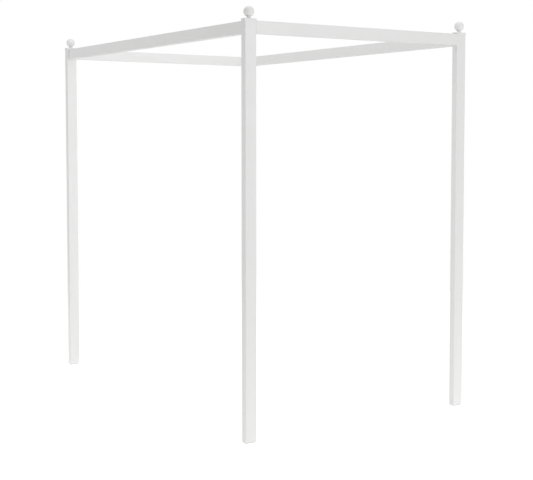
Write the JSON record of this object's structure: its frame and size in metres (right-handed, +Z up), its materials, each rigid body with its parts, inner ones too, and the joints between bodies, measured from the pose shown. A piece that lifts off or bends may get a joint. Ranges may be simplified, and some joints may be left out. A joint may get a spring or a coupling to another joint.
{
  "type": "four poster canopy bed frame",
  "caption": "Free-standing white wooden canopy frame for a four-poster bed: square-cut posts with ball finials joined by a ring of top rails.",
  "frame": {"origin": "on the floor, under the middle of the frame's outer box", "axes": "+X along the long side rails, +Y across the frame, +Z up"},
  "size_m": [2.16, 1.378, 2.0575],
  "materials": {
    "white_lacquer": "satin white lacquer",
    "beech": "bare turned beech",
    "zinc_die_casting": "die-cast zinc",
    "zinc_plated_steel": "bright zinc plate",
    "white_plastic": "moulded, satin",
    "nylon": "moulded, matt"
  },
  "bodies": {
    "frame": {"post_front_left": "white_lacquer", "post_front_right": "white_lacquer", "post_rear_left": "white_lacquer", "post_rear_right": "white_lacquer", "side_rail_front": "white_lacquer", "side_rail_rear": "white_lacquer", "end_rail_left": "white_lacquer", "end_rail_right": "white_lacquer", "cap_plate_front_left": "white_lacquer", "cap_plate_front_right": "white_lacquer", "cap_plate_rear_left": "white_lacquer", "cap_plate_rear_right": "white_lacquer", "finial_front_left": "white_lacquer", "finial_front_right": "white_lacquer", "finial_rear_left": "white_lacquer", "finial_rear_right": "white_lacquer", "finial_screw_front_left": "zinc_plated_steel", "finial_screw_front_right": "zinc_plated_steel", "finial_screw_rear_left": "zinc_plated_steel", "finial_screw_rear_right": "zinc_plated_steel", "dowels_front_left": "beech", "dowels_front_right": "beech", "dowels_rear_left": "beech", "dowels_rear_right": "beech", "cam_bolts_front_left": "zinc_plated_steel", "cam_bolts_front_right": "zinc_plated_steel", "cam_bolts_rear_left": "zinc_plated_steel", "cam_bolts_rear_right": "zinc_plated_steel", "glide_front_left": "nylon", "glide_front_right": "nylon", "glide_rear_left": "nylon", "glide_rear_right": "nylon", "glide_screws_front_left": "zinc_plated_steel", "glide_screws_front_right": "zinc_plated_steel", "glide_screws_rear_left": "zinc_plated_steel", "glide_screws_rear_right": "zinc_plated_steel"},
    "cam_lock_side_front_left": {"cam_side_front_left": "zinc_die_casting", "cam_cover_side_front_left": "white_plastic"},
    "cam_lock_end_front_left": {"cam_end_front_left": "zinc_die_casting", "cam_cover_end_front_left": "white_plastic"},
    "cam_lock_side_front_right": {"cam_side_front_right": "zinc_die_casting", "cam_cover_side_front_right": "white_plastic"},
    "cam_lock_end_front_right": {"cam_end_front_right": "zinc_die_casting", "cam_cover_end_front_right": "white_plastic"},
    "cam_lock_side_rear_left": {"cam_side_rear_left": "zinc_die_casting", "cam_cover_side_rear_left": "white_plastic"},
    "cam_lock_end_rear_left": {"cam_end_rear_left": "zinc_die_casting", "cam_cover_end_rear_left": "white_plastic"},
    "cam_lock_side_rear_right": {"cam_side_rear_right": "zinc_die_casting", "cam_cover_side_rear_right": "white_plastic"},
    "cam_lock_end_rear_right": {"cam_end_rear_right": "zinc_die_casting", "cam_cover_end_rear_right": "white_plastic"}
  },
  "joints": [
    {"name": "cam_turn_side_front_left", "type": "hinge", "parent": "frame", "child": "cam_lock_side_front_left", "pos_m": [-1.003, -0.657, 1.961], "axis": [0, 1, 0], "range_deg": [0, 180]},
    {"name": "cam_turn_end_front_left", "type": "hinge", "parent": "frame", "child": "cam_lock_end_front_left", "pos_m": [-1.055, -0.593, 1.961], "axis": [1, 0, 0], "range_deg": [0, 180]},
    {"name": "cam_turn_side_front_right", "type": "hinge", "parent": "frame", "child": "cam_lock_side_front_right", "pos_m": [1.003, -0.657, 1.961], "axis": [0, 1, 0], "range_deg": [0, 180]},
    {"name": "cam_turn_end_front_right", "type": "hinge", "parent": "frame", "child": "cam_lock_end_front_right", "pos_m": [1.055, -0.593, 1.961], "axis": [-1, 0, 0], "range_deg": [0, 180]},
    {"name": "cam_turn_side_rear_left", "type": "hinge", "parent": "frame", "child": "cam_lock_side_rear_left", "pos_m": [-1.003, 0.657, 1.961], "axis": [0, -1, 0], "range_deg": [0, 180]},
    {"name": "cam_turn_end_rear_left", "type": "hinge", "parent": "frame", "child": "cam_lock_end_rear_left", "pos_m": [-1.055, 0.593, 1.961], "axis": [1, 0, 0], "range_deg": [0, 180]},
    {"name": "cam_turn_side_rear_right", "type": "hinge", "parent": "frame", "child": "cam_lock_side_rear_right", "pos_m": [1.003, 0.657, 1.961], "axis": [0, -1, 0], "range_deg": [0, 180]},
    {"name": "cam_turn_end_rear_right", "type": "hinge", "parent": "frame", "child": "cam_lock_end_rear_right", "pos_m": [1.055, 0.593, 1.961], "axis": [-1, 0, 0], "range_deg": [0, 180]}
  ]
}
